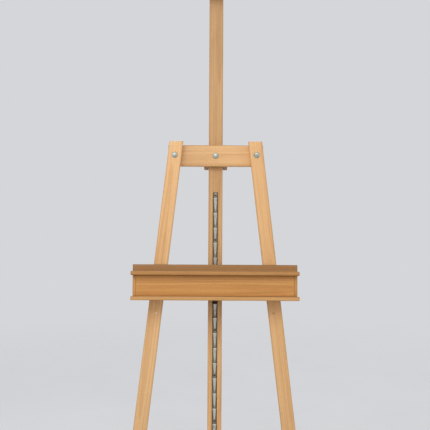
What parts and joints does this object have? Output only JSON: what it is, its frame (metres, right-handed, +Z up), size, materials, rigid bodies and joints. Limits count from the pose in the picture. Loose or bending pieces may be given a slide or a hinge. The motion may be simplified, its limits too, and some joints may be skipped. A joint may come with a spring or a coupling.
{
  "type": "wooden artist easel",
  "caption": "Wooden studio easel with splayed front legs, a toothed centre mast, a ratchet tray, a sliding canvas holder and a folding rear leg.",
  "frame": {"origin": "centre of the bounding box at floor level", "axes": "+Z up, the front of the easel faces -Y, +X to the right of a person who faces it"},
  "size_m": [0.6204, 0.7156, 1.8982],
  "materials": {
    "oiled_beech": "oiled, open grain",
    "zinc_steel": "dull zinc plate",
    "dark_steel": "blackened",
    "black_plastic": "satin"
  },
  "bodies": {
    "frame": {"hinge_left_cheek": "oiled_beech", "hinge_left_screw": "zinc_steel", "hinge_right_cheek": "oiled_beech", "hinge_right_screw": "zinc_steel", "left_leg": "oiled_beech", "leg_stop_block": "oiled_beech", "lower_crossbar": "oiled_beech", "lower_left_leg_bolt": "zinc_steel", "lower_left_leg_nut": "zinc_steel", "lower_mast_bolt": "zinc_steel", "lower_mast_nut": "zinc_steel", "lower_right_leg_bolt": "zinc_steel", "lower_right_leg_nut": "zinc_steel", "mast": "oiled_beech", "pivot_bolt": "zinc_steel", "ratchet_strip": "zinc_steel", "right_leg": "oiled_beech", "strip_screw_1": "dark_steel", "strip_screw_2": "dark_steel", "strip_screw_3": "dark_steel", "strip_screw_4": "dark_steel", "strip_screw_5": "dark_steel", "strip_screw_6": "dark_steel", "top_crossbar": "oiled_beech", "top_left_leg_bolt": "zinc_steel", "top_left_leg_nut": "zinc_steel", "top_mast_bolt": "zinc_steel", "top_mast_nut": "zinc_steel", "top_right_leg_bolt": "zinc_steel", "top_right_leg_nut": "zinc_steel"},
    "rear_leg": {"rear_leg": "oiled_beech"},
    "pivot_washer": {"pivot_washer": "zinc_steel"},
    "wing_nut": {"wing_nut": "zinc_steel"},
    "tray": {"carriage_left_cheek": "oiled_beech", "carriage_lower_left_screw": "zinc_steel", "carriage_lower_right_screw": "zinc_steel", "carriage_plate": "oiled_beech", "carriage_right_cheek": "oiled_beech", "carriage_upper_left_screw": "zinc_steel", "carriage_upper_right_screw": "zinc_steel", "pawl_pin": "zinc_steel", "tray_back": "oiled_beech", "tray_bottom": "oiled_beech", "tray_front_panel": "oiled_beech", "tray_ledge": "oiled_beech", "tray_left_end": "oiled_beech", "tray_right_end": "oiled_beech"},
    "pawl": {"pawl": "dark_steel", "pawl_spring": "zinc_steel"},
    "canvas_holder": {"holder_back_plate": "oiled_beech", "holder_fence": "oiled_beech", "holder_left_cheek": "oiled_beech", "holder_left_screw": "zinc_steel", "holder_lip": "oiled_beech", "holder_plate": "oiled_beech", "holder_right_cheek": "oiled_beech", "holder_right_screw": "zinc_steel"},
    "clamp_pad": {"clamp_pad": "zinc_steel"},
    "clamp_knob": {"clamp_knob": "black_plastic", "clamp_stud": "zinc_steel"}
  },
  "joints": [
    {"name": "rear_leg_fold", "type": "hinge", "parent": "frame", "child": "rear_leg", "pos_m": [0, 0.01026, 1.2508], "axis": [1, 0, 0], "range_deg": [-27, 0]},
    {"name": "tray_slide", "type": "slide", "parent": "frame", "child": "tray", "axis": [0, 0.2079, 0.9781], "range_m": [-0.3936, 0.1968]},
    {"name": "pawl_release", "type": "hinge", "parent": "tray", "child": "pawl", "pos_m": [0, -0.14284, 0.87441], "axis": [-1, 0, 0], "range_deg": [0, 10], "stiffness_Nm_per_rad": 0.5, "springref_deg": -11.46},
    {"name": "holder_slide", "type": "slide", "parent": "frame", "child": "canvas_holder", "axis": [0, 0.2079, 0.9781], "range_m": [-0.46, 0.04]},
    {"name": "clamp_pad_travel", "type": "slide", "parent": "canvas_holder", "child": "clamp_pad", "axis": [0, 0.9781, -0.2079], "range_m": [0, 0.0025]},
    {"name": "clamp_knob_turn", "type": "hinge", "parent": "clamp_pad", "child": "clamp_knob", "pos_m": [0, 0.09852, 1.80455], "axis": [0, 0.9781, -0.2079], "range_deg": [0, 720]},
    {"name": "pivot_washer_travel", "type": "slide", "parent": "frame", "child": "pivot_washer", "axis": [1, 0, 0], "range_m": [0, 0.0025]},
    {"name": "wing_nut_turn", "type": "hinge", "parent": "pivot_washer", "child": "wing_nut", "pos_m": [0.0395, 0.01026, 1.2508], "axis": [1, 0, 0], "range_deg": [0, 720]}
  ],
  "couplings": [
    {"joint": "clamp_pad_travel", "follows": "clamp_knob_turn", "m_per_rad": 0.0001989},
    {"joint": "pivot_washer_travel", "follows": "wing_nut_turn", "m_per_rad": 0.0001989}
  ]
}
